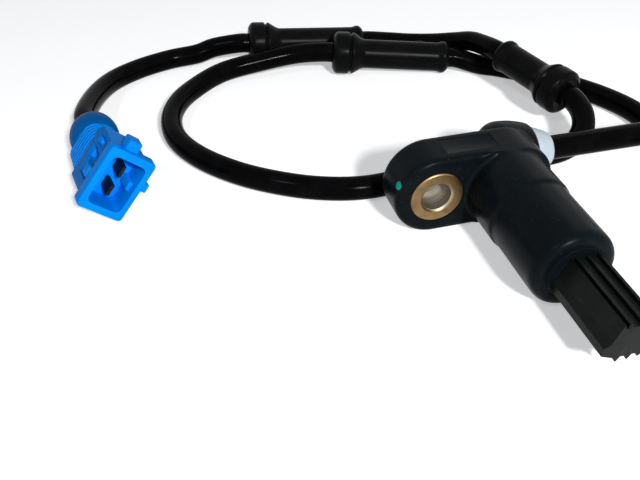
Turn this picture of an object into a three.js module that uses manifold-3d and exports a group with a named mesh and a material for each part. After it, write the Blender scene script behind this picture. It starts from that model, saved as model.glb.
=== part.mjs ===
// A wheel speed sensor: a moulded head with a bolt ear and a ribbed nose, and a
// coiled cable with three grommets and a two-way plug.
// Millimetres, +Z up. The nose points to -Y, the cable leaves to +X, the head rests on z = 0.
import * as THREE from "three";
import { mergeVertices } from "three/addons/utils/BufferGeometryUtils.js";
import Module from "manifold-3d";

const wasm = await Module();
wasm.setup();

// sizes that drive the whole part
const GAP = 0.3;                  // clearance between pieces that fit in one another
const OVER = 1;                   // how far a cutting solid runs past what it cuts

// flange: a plate with two round ends, from y = 0 (its seat face) to the rear
const FLANGE_R = 9.5;
const FLANGE_T = 10;
const FLANGE_X = 1.5;             // middle of the round end at the barrel
const EDGE_R = 1.3;
const EAR_X = -16.33;             // middle of the ear and of its bush
const AXIS_Z = FLANGE_R;          // height of every axis of the head over the floor
const DIP = { x0: -14, x1: -2, y0: 2.2, y1: 7.8, deep: 0.4 };

// bush pressed in the ear
const BUSH_R = 6.2;
const BUSH_BORE_R = 3.3;
const BUSH_PROUD = 0.15;
const BUSH_CHAMFER = 0.4;
const KEY_R = 6.8;                // ring round the bush that keys it in the moulding
const KEY_Y0 = 3.6;
const KEY_Y1 = 6.4;

// barrel
const ROOT_R = 9.4;
const ROOT_END = -11.7;
const BARREL_R = 9;
const BARREL_END = -29.7;
const BARREL_ROUND = 2;
const ROOT_FILLET = 1.6;

// boss that the cable leaves from, turned about a line along x
const BOSS_Y = 11.5;
const BOSS_R = 8.2;
const BOSS_LEFT = -2.5;
const BOSS_ROUND = 3;
const BOSS_RIGHT = 12.6;
const BOSS_SHOULDER = 2.4;         // rounding of the boss towards the collar
const PASSAGE_LEFT = BOSS_LEFT + 1.2;
const PASSAGE_HALF = 2.6;         // half height of the passage from the pocket to the cable

// cable and collar
const CABLE_R = 2.87;
const CABLE_SIDES = 10;
const COLLAR_IN = 8.4;            // where the collar starts inside the boss
const COLLAR_IN_R = 4.5;
const COLLAR_R = 5.2;
const COLLAR_TIP = 17.5;
const COLLAR_TIP_R = 3.75;
const JACKET_START = 6.2;         // the cable's jacket ends here inside the boss

// nose, standing out of the barrel's end
const NOSE_LENGTH = 18;
const NOSE_END = BARREL_END - NOSE_LENGTH;
const NOSE_TOP = 4.35;
const NOSE_VALLEY = 3.4;
const RIB_W = 0.75;
const RIB_X = [-0.95, 1.45, 3.85];
const KEEL_TIP = -5;
const KEEL_VALLEY = -3.9;
const KEEL_X = [3, 0.7, -1.6];
const NOSE_CHAMFER = 0.5;
const NOSE_SIDE = 5;              // the nose's flat side
const LEDGE = { outX: -5, inX: -3.7, top: -0.15, low: -2.75 };
const PLUG_R = 6.2;               // round root of the nose, inside the barrel
const PLUG_DEEP = 3.2;

// what the head holds
const POCKET_R = PLUG_R + GAP;
const POCKET_END = 6;
const PIN_R = 1;
const PIN_COVER = 1.3;            // plastic left over the pole pin's tip
const PIN_TIP = NOSE_END + PIN_COVER;
const COIL_FRONT = BARREL_END + PLUG_DEEP + GAP;
const COIL_LENGTH = 12;
const COIL_BACK = COIL_FRONT + COIL_LENGTH;
const COIL_FLANGE_T = 1;
const COIL_FLANGE_R = 5.6;
const COIL_CORE_R = 2;
const WINDING_R = 5.1;
const PIN_HEAD_R = 2.8;
const PIN_HEAD_T = 1;
const MAGNET_R = 3.2;
const MAGNET_L = 7;
const STRIP_OFF = 4.3;            // the two strips lie this far over and under the axis
const STRIP_W = 1.8;
const STRIP_T = 0.5;
const STRIP_END = 2.2;
const CRIMP_L = 2.6;
const CRIMP_HALF = 1;
const WIRE_R = 0.8;
const WIRE_OFF = 1.2;             // the two conductors lie this far over and under the cable's axis

// grommets on the cable, measured along it from the disc's face
const DISC_R = 6.1;
const SLEEVE_R = 4.2;
const BEAD_R = 4.6;
const GROMMET_BORE = CABLE_R + GAP;

// plug: x across its short side, y along its long side, z out of the socket, rim at z = 0
const PLUG_AT = [-83.1, 23.1, 9.45];
const PLUG_ACROSS = [0.744, 0.084, -0.663];
const PLUG_ALONG = [0.647, 0.158, 0.746];
const RIM_W = 11.4;
const RIM_H = 16.2;
const RIM_T = 3.6;
const BODY_W = 10;
const BODY_H = 14.6;
const BODY_BACK = -13;
const SOCKET_W = 7.4;
const SOCKET_H = 11.4;
const SOCKET_DEEP = 10;
const TAB = { half: 2.4, out: 2.6, back: -5.2, front: -1.4 };      // latch tab on the rim's top
const LUG = { low: 0.8, high: 2.6, out: 0.9, back: -3.2, front: -0.7 };
const RECESS = { low: -4, high: 2.4, deep: 0.9, back: -9.4 };      // in the body's side
const CATCH = { low: -1.8, high: 0.6, out: 0.4, back: -7.4, front: -5.2 };
const KEY_RIB = { half: 1.1, deep: 0.9, front: -2.4 };             // in the socket
const BLADE_PITCH = 5.1;
const BLADE_T = 0.8;
const BLADE_W = 2.8;
const BLADE_TIP = -2.2;
const BLADE_BACK = -21;
const GRIP_BACK = -24.6;
const GRIP_RIBS = 5;
const GRIP_PITCH = 2.1;
const GRIP_STEP = 0.55;           // how far the grip's ribs stand out
const BOOT_R = 7;
const BOOT_TIP_R = 4.6;
const BOOT_BACK = -32.6;
const BOOT_FLAT = 0.8;            // the boot is this much narrower across than along
const PLUG_JACKET = -26.4;          // the cable's jacket ends here inside the boot

// looks
const look = (color, roughness, metalness) => ({ color, roughness, metalness });
const BLACK_PLASTIC = look(0x1c2226, 0.5, 0);
const NOSE_PLASTIC = look(0x2c332f, 0.45, 0);
const BRASS = look(0xbe965f, 0.35, 1);
const WHITE_PLASTIC = look(0xe4ecef, 0.4, 0);
const CABLE_BLACK = look(0x0b0c0e, 0.3, 0);
const RUBBER_BLACK = look(0x101113, 0.6, 0);
const PLUG_BLUE = look(0x0a86e6, 0.4, 0);
const TIN = look(0x4a4d50, 0.4, 1);
const STEEL = look(0x9a9da0, 0.35, 1);
const COPPER = look(0xb06a3a, 0.35, 1);
const BOBBIN_PLASTIC = look(0x3a3a36, 0.5, 0);
const MAGNET_GREY = look(0x55565a, 0.5, 1);
const WIRE_BROWN = look(0x5c3a22, 0.5, 0);

// shape helpers
// a closed solid from a geometry
function solidOf(geometry) {
  const bare = geometry.clone();
  bare.deleteAttribute("normal");
  bare.deleteAttribute("uv");
  const welded = mergeVertices(bare, 1e-4);
  return new wasm.Manifold(new wasm.Mesh({
    numProp: 3,
    vertProperties: new Float32Array(welded.attributes.position.array),
    triVerts: new Uint32Array(welded.index.array),
  }));
}

// a geometry from a closed solid
function geometryOf(solid) {
  const mesh = solid.getMesh();
  const geometry = new THREE.BufferGeometry();
  geometry.setAttribute("position", new THREE.BufferAttribute(mesh.vertProperties, 3));
  geometry.setIndex(new THREE.BufferAttribute(mesh.triVerts, 1));
  const flat = geometry.toNonIndexed();
  flat.computeVertexNormals();
  return flat;
}

const join = (first, ...rest) => rest.reduce((sum, next) => sum.add(solidOf(next)), first);
const cut = (first, ...rest) => rest.reduce((sum, next) => sum.subtract(solidOf(next)), first);

// a turned piece about a line along y; the profile lists [radius, y] from one end to the other
function turned(profile, sides) {
  const rising = profile[0][1] <= profile[profile.length - 1][1];
  const points = (rising ? profile : [...profile].reverse()).map(([r, y]) => new THREE.Vector2(r, y));
  return new THREE.LatheGeometry(points, sides);
}

// a turned ring about a line along y, with a bore of the given radius
function ringTurned(outer, bore, sides) {
  const first = outer[0];
  const last = outer[outer.length - 1];
  const points = [[bore, first[1]], ...outer, [bore, last[1]], [bore, first[1]]];
  return new THREE.LatheGeometry(points.map(([r, y]) => new THREE.Vector2(r, y)), sides);
}

// a plain rod about a line along y
const rod = (radius, y0, y1, sides) => turned([[0, y0], [radius, y0], [radius, y1], [0, y1]], sides);

// a box from its two far corners
function box(x0, x1, y0, y1, z0, z1) {
  const shape = new THREE.BoxGeometry(x1 - x0, y1 - y0, z1 - z0);
  return shape.translate((x0 + x1) / 2, (y0 + y1) / 2, (z0 + z1) / 2);
}

// turns a shape made about y so that it lies about a line along x, through (y, z)
const alongX = (shape, y, z) => shape.rotateZ(-Math.PI / 2).translate(0, y, z);

// a quarter round from one radius and place to another, as [radius, place] pairs
function quarter(r0, s0, r1, s1, steps, outward) {
  const list = [];
  for (let i = 0; i <= steps; i += 1) {
    const turn = (i / steps) * (Math.PI / 2);
    const across = outward ? Math.sin(turn) : 1 - Math.cos(turn);
    const along = outward ? 1 - Math.cos(turn) : Math.sin(turn);
    list.push([r0 + (r1 - r0) * across, s0 + (s1 - s0) * along]);
  }
  return list;
}

// outline with two round ends, in x and z
function stadium(x0, x1, radius, steps) {
  const shape = new THREE.Shape();
  for (const [middle, start] of [[x1, -Math.PI / 2], [x0, Math.PI / 2]]) {
    for (let i = 0; i <= steps; i += 1) {
      const turn = start + (i / steps) * Math.PI;
      const place = [middle + radius * Math.cos(turn), radius * Math.sin(turn)];
      if (middle === x1 && i === 0) shape.moveTo(...place);
      else shape.lineTo(...place);
    }
  }
  return shape;
}

// rectangle with round corners, about the origin
function roundedRect(width, height, radius, steps) {
  const shape = new THREE.Shape();
  const corners = [[1, 1, 0], [-1, 1, 1], [-1, -1, 2], [1, -1, 3]];
  corners.forEach(([sx, sy, quadrant], index) => {
    for (let i = 0; i <= steps; i += 1) {
      const turn = (quadrant + i / steps) * (Math.PI / 2);
      const x = sx * (width / 2 - radius) + radius * Math.cos(turn);
      const y = sy * (height / 2 - radius) + radius * Math.sin(turn);
      if (index === 0 && i === 0) shape.moveTo(x, y);
      else shape.lineTo(x, y);
    }
  });
  return shape;
}

// a plate of a given outline, from z0 to z1, with its edges rounded
function plate(outline, z0, z1, edge = 0, steps = 2) {
  return new THREE.ExtrudeGeometry(outline, {
    depth: z1 - z0 - 2 * edge,
    bevelEnabled: edge > 0,
    bevelThickness: edge,
    bevelSize: edge,
    bevelOffset: -edge,
    bevelSegments: steps,
  }).translate(0, 0, z0 + edge);
}

// stands a plate made along z so that its outline lies in x and z and it runs from y0 to y1
const alongY = (outline, y0, y1, edge = 0, steps = 2) =>
  plate(outline, -y1, -y0, edge, steps).rotateX(Math.PI / 2).translate(0, 0, AXIS_Z);

// a route whose steps fall on its own points, so that bends are stepped closer than straights
class Route extends THREE.CatmullRomCurve3 {
  constructor(points) {
    super(points.map((p) => new THREE.Vector3(...p)), false, "centripetal");
  }

  getUtoTmapping(u) {
    return u;
  }
}

function tube(points, radius, sides, perPoint = 1) {
  const outline = new THREE.Shape();
  for (let i = 0; i < sides; i += 1) {
    const turn = (i / sides) * 2 * Math.PI;
    const place = [radius * Math.cos(turn), radius * Math.sin(turn)];
    if (i === 0) outline.moveTo(...place);
    else outline.lineTo(...place);
  }
  return new THREE.ExtrudeGeometry(outline, {
    steps: (points.length - 1) * perPoint,
    extrudePath: new Route(points),
  });
}

const part = new THREE.Group();
part.name = "wheel_speed_sensor";
const sensor = new THREE.Group();
part.add(sensor);

function piece(name, shape, finish, parent = sensor) {
  const geometry = shape.isBufferGeometry ? shape : geometryOf(shape);
  const mesh = new THREE.Mesh(geometry, new THREE.MeshStandardMaterial(finish));
  mesh.name = name;
  parent.add(mesh);
  return mesh;
}

// head housing
const flangeOutline = stadium(EAR_X, FLANGE_X, FLANGE_R, 24);
const barrelProfile = [
  [0, FLANGE_T / 2],
  [ROOT_R, FLANGE_T / 2],
  [ROOT_R, ROOT_END + (ROOT_R - BARREL_R)],
  [BARREL_R, ROOT_END],
  ...quarter(BARREL_R, BARREL_END + BARREL_ROUND, BARREL_R - BARREL_ROUND, BARREL_END, 5, false),
  [0, BARREL_END],
];
const filletProfile = [
  [0, OVER],
  [ROOT_R + ROOT_FILLET, OVER],
  ...quarter(ROOT_R + ROOT_FILLET, 0, ROOT_R, -ROOT_FILLET, 4, true),
  [0, -ROOT_FILLET],
];
const bossProfile = [
  [0, BOSS_LEFT],
  ...quarter(BOSS_R - BOSS_ROUND, BOSS_LEFT, BOSS_R, BOSS_LEFT + BOSS_ROUND, 4, true),
  ...quarter(BOSS_R, BOSS_RIGHT - BOSS_SHOULDER, COLLAR_R + GAP, BOSS_RIGHT, 5, false),
  [0, BOSS_RIGHT],
];
// the fillet at the barrel's root stays inside the flange's outline
const rootFillet = solidOf(turned(filletProfile, 48).translate(0, 0, AXIS_Z))
  .intersect(solidOf(alongY(flangeOutline, -ROOT_FILLET - OVER, OVER + OVER)));
const bushSeat = turned([
  [0, -OVER],
  [BUSH_R + GAP, -OVER],
  [BUSH_R + GAP, KEY_Y0 - GAP],
  [KEY_R + GAP, KEY_Y0 - GAP],
  [KEY_R + GAP, KEY_Y1 + GAP],
  [BUSH_R + GAP, KEY_Y1 + GAP],
  [BUSH_R + GAP, FLANGE_T + OVER],
  [0, FLANGE_T + OVER],
], 48).translate(EAR_X, 0, AXIS_Z);
const housing = cut(
  join(
    solidOf(alongY(flangeOutline, 0, FLANGE_T, EDGE_R, 3)),
    turned(barrelProfile, 56).translate(0, 0, AXIS_Z),
    alongX(turned(bossProfile, 40), BOSS_Y, AXIS_Z),
  ).add(rootFillet),
  bushSeat,
  rod(POCKET_R, BARREL_END - OVER, POCKET_END, 40).translate(0, 0, AXIS_Z),
  box(PASSAGE_LEFT, 3, POCKET_END - OVER, BOSS_Y, AXIS_Z - PASSAGE_HALF, AXIS_Z + PASSAGE_HALF),
  alongX(rod(CABLE_R + GAP, PASSAGE_LEFT, BOSS_RIGHT + OVER, 24), BOSS_Y, AXIS_Z),
  alongX(rod(COLLAR_IN_R + GAP, COLLAR_IN - GAP, BOSS_RIGHT + OVER, 32), BOSS_Y, AXIS_Z),
  box(DIP.x0, DIP.x1, DIP.y0, DIP.y1, 2 * AXIS_Z - DIP.deep, 2 * AXIS_Z + OVER),
);
piece("head_housing", housing, BLACK_PLASTIC);

const bushOuter = [
  [BUSH_R - BUSH_CHAMFER, -BUSH_PROUD],
  [BUSH_R, BUSH_CHAMFER - BUSH_PROUD],
  [BUSH_R, KEY_Y0],
  [KEY_R, KEY_Y0],
  [KEY_R, KEY_Y1],
  [BUSH_R, KEY_Y1],
  [BUSH_R, FLANGE_T - BUSH_CHAMFER],
  [BUSH_R - BUSH_CHAMFER, FLANGE_T],
  [BUSH_BORE_R + BUSH_CHAMFER, FLANGE_T],
  [BUSH_BORE_R, FLANGE_T - BUSH_CHAMFER],
  [BUSH_BORE_R, BUSH_CHAMFER - BUSH_PROUD],
  [BUSH_BORE_R + BUSH_CHAMFER, -BUSH_PROUD],
  [BUSH_R - BUSH_CHAMFER, -BUSH_PROUD],
];
piece("mounting_bush", new THREE.LatheGeometry(bushOuter.map(([r, y]) => new THREE.Vector2(r, y)), 48), BRASS)
  .position.set(EAR_X, 0, AXIS_Z);

// nose
const noseOutline = new THREE.Shape();
noseOutline.moveTo(LEDGE.outX, LEDGE.low);
for (const x of [...KEEL_X].reverse()) {
  noseOutline.lineTo(x - RIB_W, KEEL_VALLEY);
  noseOutline.lineTo(x, KEEL_TIP);
  noseOutline.lineTo(x + RIB_W, KEEL_VALLEY);
}
noseOutline.lineTo(NOSE_SIDE - 0.4, LEDGE.low);
noseOutline.lineTo(NOSE_SIDE, NOSE_VALLEY - 1);
for (const x of [...RIB_X].reverse()) {
  noseOutline.lineTo(x + RIB_W / 2, NOSE_VALLEY);
  noseOutline.lineTo(x + RIB_W / 2, NOSE_TOP);
  noseOutline.lineTo(x - RIB_W / 2, NOSE_TOP);
  noseOutline.lineTo(x - RIB_W / 2, NOSE_VALLEY);
}
// the sloping flat face and the ledge under it
noseOutline.lineTo(-1.8, NOSE_VALLEY);
noseOutline.lineTo(-2.1, NOSE_TOP);
noseOutline.lineTo(LEDGE.inX, LEDGE.top);
noseOutline.lineTo(LEDGE.outX, LEDGE.top - 0.7);
noseOutline.closePath();
const noseEnvelope = turned([
  [0, NOSE_END],
  [PLUG_R - NOSE_CHAMFER, NOSE_END],
  [PLUG_R, NOSE_END + NOSE_CHAMFER],
  [PLUG_R, BARREL_END + OVER],
  [0, BARREL_END + OVER],
], 40).translate(0, 0, AXIS_Z);
const carrier = cut(
  solidOf(alongY(noseOutline, NOSE_END, BARREL_END + OVER)).intersect(solidOf(noseEnvelope))
    .add(solidOf(rod(PLUG_R, BARREL_END, BARREL_END + PLUG_DEEP, 40).translate(0, 0, AXIS_Z))),
  rod(PIN_R + GAP, PIN_TIP - GAP, 0, 20).translate(0, 0, AXIS_Z),
);
piece("probe_carrier", carrier, NOSE_PLASTIC);

// inside the head
const onAxis = (mesh) => mesh.position.set(0, 0, AXIS_Z);
const pinBack = COIL_BACK + GAP;
onAxis(piece("pole_pin", turned([
  [0, PIN_TIP],
  [PIN_R, PIN_TIP],
  [PIN_R, pinBack],
  [PIN_HEAD_R, pinBack],
  [PIN_HEAD_R, pinBack + PIN_HEAD_T],
  [0, pinBack + PIN_HEAD_T],
], 20), STEEL));
onAxis(piece("coil_bobbin", ringTurned([
  [COIL_FLANGE_R, COIL_FRONT],
  [COIL_FLANGE_R, COIL_FRONT + COIL_FLANGE_T],
  [COIL_CORE_R, COIL_FRONT + COIL_FLANGE_T],
  [COIL_CORE_R, COIL_BACK - COIL_FLANGE_T],
  [COIL_FLANGE_R, COIL_BACK - COIL_FLANGE_T],
  [COIL_FLANGE_R, COIL_BACK],
], PIN_R + GAP, 32), BOBBIN_PLASTIC));
onAxis(piece("coil_winding", ringTurned([
  [WINDING_R, COIL_FRONT + COIL_FLANGE_T + GAP],
  [WINDING_R, COIL_BACK - COIL_FLANGE_T - GAP],
], COIL_CORE_R + GAP, 32), COPPER));
const magnetFront = pinBack + PIN_HEAD_T + GAP;
onAxis(piece("magnet", rod(MAGNET_R, magnetFront, magnetFront + MAGNET_L, 28), MAGNET_GREY));

for (const [index, side] of [1, -1].entries()) {
  const mid = AXIS_Z + side * STRIP_OFF;
  const strip = join(
    solidOf(box(-STRIP_W / 2, STRIP_W / 2, COIL_BACK + GAP, STRIP_END, mid - STRIP_T / 2, mid + STRIP_T / 2)),
    box(-STRIP_W / 2, STRIP_W / 2, STRIP_END - CRIMP_L, STRIP_END, mid - STRIP_T, mid + STRIP_T),
  );
  piece(`terminal_strip_${index + 1}`, strip, BRASS);
  const off = (z) => AXIS_Z + side * z;
  piece(`conductor_${index + 1}`, tube([
    [0, STRIP_END + GAP, off(STRIP_OFF - 0.6)],
    [0, POCKET_END - 1.8, off(STRIP_OFF - 1.9)],
    [0.1, POCKET_END + 0.6, off(WIRE_OFF + 0.3)],
    [0.9, BOSS_Y - 2.2, off(WIRE_OFF)],
    [2.8, BOSS_Y - 0.3, off(WIRE_OFF)],
    [JACKET_START - GAP, BOSS_Y, off(WIRE_OFF)],
  ], WIRE_R, 8), WIRE_BROWN);
}

// collar
const collarProfile = [
  [COLLAR_IN_R, COLLAR_IN],
  [COLLAR_IN_R, BOSS_RIGHT],
  [COLLAR_R, BOSS_RIGHT],
  [COLLAR_R, BOSS_RIGHT + 0.9],
  [COLLAR_R - 0.25, BOSS_RIGHT + 2],
  [COLLAR_R - 0.65, BOSS_RIGHT + 3.2],
  [COLLAR_TIP_R + 0.15, COLLAR_TIP - 0.5],
  [COLLAR_TIP_R, COLLAR_TIP],
];
piece("cable_collar", alongX(ringTurned(collarProfile, CABLE_R + GAP, 32), BOSS_Y, AXIS_Z), WHITE_PLASTIC);

// grommets
// each lies on a straight stretch of the cable, from the disc's face to the bead's end
const GROMMETS = [
  { from: [-39.8, 93.1, 6.6], to: [-4.7, 89.4, 4.7] },
  { from: [-16.8, 80.0, 6.6], to: [16.7, 71.4, 4.7] },
  { from: [34.2, 33.8, 9.3], to: [27.1, 57.6, 10.8] },
];
const LEAD = 2.5;                 // the cable stays straight this far past each end

const reach = ({ from, to }) => new THREE.Vector3(...from).distanceTo(new THREE.Vector3(...to));

function grommetShape(length) {
  return ringTurned([
    [BEAD_R, 0],
    [DISC_R, 1],
    [DISC_R, 4.6],
    [DISC_R - 0.7, 5.2],
    [DISC_R, 6],
    [5.2, 7.4],
    [SLEEVE_R, 9],
    [SLEEVE_R, length - 3],
    [BEAD_R, length - 1.9],
    [BEAD_R, length - 1.1],
    [SLEEVE_R - 0.5, length],
  ], GROMMET_BORE, 32);
}

GROMMETS.forEach((place, index) => {
  const mesh = piece(`grommet_${index + 1}`, grommetShape(reach(place)), RUBBER_BLACK);
  const along = new THREE.Vector3(...place.to).sub(new THREE.Vector3(...place.from)).normalize();
  mesh.position.set(...place.from);
  mesh.quaternion.setFromUnitVectors(new THREE.Vector3(0, 1, 0), along);
});

// points of the cable along a grommet, from its face to its far end
function through(place) {
  const start = new THREE.Vector3(...place.from);
  const end = new THREE.Vector3(...place.to);
  const length = start.distanceTo(end);
  return [-LEAD, 0, length / 2, length, length + LEAD]
    .map((far) => start.clone().lerp(end, far / length).toArray());
}

// plug
const plug = new THREE.Group();
const across = new THREE.Vector3(...PLUG_ACROSS).normalize();
const out = across.clone().cross(new THREE.Vector3(...PLUG_ALONG)).normalize();
const along = out.clone().cross(across);
plug.quaternion.setFromRotationMatrix(new THREE.Matrix4().makeBasis(across, along, out));
plug.position.set(...PLUG_AT);
sensor.add(plug);
const bladeY = [BLADE_PITCH / 2, -BLADE_PITCH / 2];
const bladeX = 0.3;               // the blades stand a little to one side of the socket

const shroud = cut(
  join(
    solidOf(plate(roundedRect(RIM_W, RIM_H, 1, 3), -RIM_T, 0, 0.4)),
    plate(roundedRect(BODY_W, BODY_H, 1.3, 3), BODY_BACK, -RIM_T + OVER),
    box(-TAB.half, TAB.half, BODY_H / 2 - OVER, RIM_H / 2 + TAB.out, TAB.back, TAB.front),
    box(RIM_W / 2 - OVER, RIM_W / 2 + LUG.out, LUG.low, LUG.high, LUG.back, LUG.front),
  ),
  plate(roundedRect(SOCKET_W, SOCKET_H, 1.4, 3), -SOCKET_DEEP, OVER),
  box(-BODY_W / 2 - OVER, -BODY_W / 2 + RECESS.deep, RECESS.low, RECESS.high, RECESS.back, -RIM_T),
  ...bladeY.map((y) => box(
    bladeX - BLADE_T / 2 - GAP, bladeX + BLADE_T / 2 + GAP,
    y - BLADE_W / 2 - GAP, y + BLADE_W / 2 + GAP, BODY_BACK - OVER, -SOCKET_DEEP + OVER)),
);
const sideCatch = box(
  -BODY_W / 2 - CATCH.out, -BODY_W / 2 + OVER,
  CATCH.low, CATCH.high, CATCH.back, CATCH.front);
const keyRib = box(
  SOCKET_W / 2 - KEY_RIB.deep, SOCKET_W / 2 + GAP,
  -KEY_RIB.half, KEY_RIB.half, -SOCKET_DEEP - GAP, KEY_RIB.front);
piece("connector_shroud", join(shroud, sideCatch, keyRib), PLUG_BLUE, plug);

const bootProfile = [
  [0, BOOT_BACK],
  [BOOT_TIP_R, BOOT_BACK],
  [5.7, BOOT_BACK + 1.2],
  [6.5, BOOT_BACK + 3],
  [6.9, BOOT_BACK + 5],
  [BOOT_R, GRIP_BACK],
  [0, GRIP_BACK],
];
const gripBase = GRIP_BACK + 1.2;
const gripRings = Array.from({ length: GRIP_RIBS }, (unused, i) => {
  const start = gripBase + i * GRIP_PITCH;
  return plate(roundedRect(BODY_W, BODY_H - 0.6, 2.4, 3), start, start + GRIP_PITCH / 2);
});
const boot = cut(
  join(
    solidOf(turned(bootProfile, 32).rotateX(Math.PI / 2).scale(BOOT_FLAT, 1, 1)),
    plate(roundedRect(BODY_W - 2 * GRIP_STEP, BODY_H - 0.6 - 2 * GRIP_STEP, 2, 3), GRIP_BACK - OVER, BODY_BACK),
    ...gripRings,
  ),
  plate(roundedRect(5.6, 10.4, 1.2, 2), PLUG_JACKET, BODY_BACK + OVER),
  rod(CABLE_R + GAP, BOOT_BACK - OVER, PLUG_JACKET + OVER, 24).rotateX(Math.PI / 2),
);
piece("connector_boot", boot, PLUG_BLUE, plug);

for (const [index, y] of bladeY.entries()) {
  const slab = (half, high, back, front) => box(bladeX - half, bladeX + half, y - high, y + high, back, front);
  const blade = join(
    solidOf(slab(BLADE_T / 2, BLADE_W / 2, BLADE_BACK, BLADE_TIP)),
    slab(CRIMP_HALF, CRIMP_HALF, BLADE_BACK, BLADE_BACK + CRIMP_L),
  );
  piece(`contact_blade_${index + 1}`, blade, TIN, plug);
  const side = Math.sign(y);
  piece(`plug_conductor_${index + 1}`, tube([
    [0, side * WIRE_OFF, PLUG_JACKET + GAP],
    [0, side * (WIRE_OFF + 0.3), PLUG_JACKET + 1.6],
    [bladeX / 2, side * (BLADE_PITCH / 2 - 0.3), PLUG_JACKET + 3.4],
    [bladeX, y, BLADE_BACK - GAP],
  ], WIRE_R, 8), WIRE_BROWN, plug);
}

// cable
plug.updateMatrix();
const inPlug = (z) => new THREE.Vector3(0, 0, z).applyMatrix4(plug.matrix).toArray();
const FLOOR = CABLE_R + 0.13;     // height of the cable's middle where it lies on the floor
const CABLE_ROUTE = [
  [JACKET_START, BOSS_Y, AXIS_Z],
  [COLLAR_TIP + 1, BOSS_Y, AXIS_Z],
  [36, 11.4, 9.4],
  // over the strand that comes back, and round a loop out of the way
  [52, 11.8, 9.0], [64, 12.9, 8.4], [77, 11.5, 6.0], [89, 5.5, 3.6], [97.5, -5, FLOOR],
  [98, -19, FLOOR], [90, -31, FLOOR], [77, -35, FLOOR], [64.5, -30, FLOOR], [57, -17, FLOOR],
  [55, 0, FLOOR], [55.2, 14, FLOOR], [54.4, 30.7, FLOOR],
  // behind the head, under the third grommet, to the second
  [51.2, 39.4, FLOOR], [45.7, 47.9, FLOOR], [39.2, 54.7, FLOOR], [35.6, 60, FLOOR],
  [30.6, 64.4, FLOOR], [25.4, 67.6, 3.1],
  ...through(GROMMETS[1]).reverse(),
  // round to the left and back along the front
  [-27, 82.9, 6.1], [-38.5, 83.2, 4.9], [-50, 82, 3.6], [-59.3, 75.3, FLOOR],
  [-64.7, 68.2, FLOOR], [-67.6, 59.8, FLOOR], [-67.4, 49.8, FLOOR], [-63.4, 40.3, FLOOR],
  [-55.9, 31, FLOOR], [-47.3, 24.1, FLOOR], [-37.6, 18.9, FLOOR], [-27, 16.3, FLOOR],
  [-13, 17.6, FLOOR], [0, 20.9, FLOOR], [5.6, 20.9, FLOOR], [11.7, 20.6, FLOOR],
  // under the strand from the collar, and up to the third grommet
  [18.2, 17.8, 3.2], [23.6, 16.9, 3.9], [28.7, 18.3, 4.8], [32.7, 21.6, 6.3], [34.8, 26.2, 8],
  ...through(GROMMETS[2]),
  // down over the strand on the floor to the first grommet
  [25.3, 66, 10.1], [24, 71.7, 8.9], [21.3, 77.2, 6.6], [16.5, 82.2, 4.6], [10.6, 85.9, 3.7], [5, 88, 3.8],
  ...through(GROMMETS[0]).reverse(),
  // to the plug
  [-50.5, 95.6, 5.2], [-55.2, 95.4, 4.0], [-63.9, 95.4, 3.2], [-73.3, 92.1, FLOOR],
  [-80.7, 86.4, 3.3], [-85.9, 76.6, 4.6],
  inPlug(BOOT_BACK - 5), inPlug(BOOT_BACK), inPlug(PLUG_JACKET),
];
piece("sensor_cable", tube(CABLE_ROUTE, CABLE_R, CABLE_SIDES), CABLE_BLACK);

// the origin lies on the floor under the middle of the head
sensor.position.set(
  -(EAR_X - FLANGE_R + COLLAR_TIP) / 2,
  -(NOSE_END + BOSS_Y + BOSS_R) / 2,
  0,
);

export default part;
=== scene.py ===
import math

import bmesh
import bpy
from bpy.props import FloatProperty, FloatVectorProperty, IntProperty, PointerProperty
from mathutils import Matrix, Vector


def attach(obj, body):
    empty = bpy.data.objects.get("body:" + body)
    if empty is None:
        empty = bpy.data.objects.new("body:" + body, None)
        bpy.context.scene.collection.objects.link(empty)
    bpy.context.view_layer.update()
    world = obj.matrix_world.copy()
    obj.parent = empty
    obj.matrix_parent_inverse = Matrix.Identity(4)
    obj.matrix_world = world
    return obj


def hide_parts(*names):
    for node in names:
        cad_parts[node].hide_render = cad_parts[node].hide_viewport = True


bl_info = {
    "name": "Wheel speed sensor",
    "version": (1, 0, 0),
    "blender": (4, 5, 0),
    "location": "3D View > Sidebar > Sensor",
    "description": "Builds a wheel speed sensor with its cable, grommets and plug",
    "category": "Add Mesh",
}

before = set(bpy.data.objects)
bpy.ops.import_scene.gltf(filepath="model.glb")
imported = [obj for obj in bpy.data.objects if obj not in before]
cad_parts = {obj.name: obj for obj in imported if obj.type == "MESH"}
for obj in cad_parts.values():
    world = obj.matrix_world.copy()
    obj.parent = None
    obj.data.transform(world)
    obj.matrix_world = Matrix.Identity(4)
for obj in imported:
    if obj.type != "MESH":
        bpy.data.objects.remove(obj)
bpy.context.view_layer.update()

# The pieces are modelled in millimetres, with the barrel's axis over x = 0 and the
# flange's seat face at y = 0.
MM = 0.001
FIT = 0.05

# head
EAR_X = -16.33
FLANGE_X = 1.5
FLANGE_R = 9.5
FLANGE_T = 10
FLANGE_EDGE = 1.3
AXIS_Z = FLANGE_R
BUSH_R = 6.2
BUSH_BORE_R = 3.3
BUSH_PROUD = 0.15
ROOT_R = 9.4
ROOT_END = -11.7
ROOT_FILLET = 1.6
BARREL_R = 9
BARREL_END = -29.7
BARREL_EDGE = 2.4
NOSE_R = 6.2
NOSE_SEAT = 2.6
NOSE_END = -47.7
BOSS_Y = 11.5
BOSS_R = 8.2
BOSS_START = 0.6
BOSS_END = 11.2
RECESS = (-14, -2, 2.2, 7.8)      # the sides of the head's shallow recess, in x and y
RECESS_DEEP = 0.14
MARK = (-24.9, 1.6, 13.2)
MARK_R, MARK_FADE_R = 0.8, 1.05   # the paint dot is full up to the first, gone at the second
MARK_COLOUR = (0.005, 0.42, 0.33)

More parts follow.
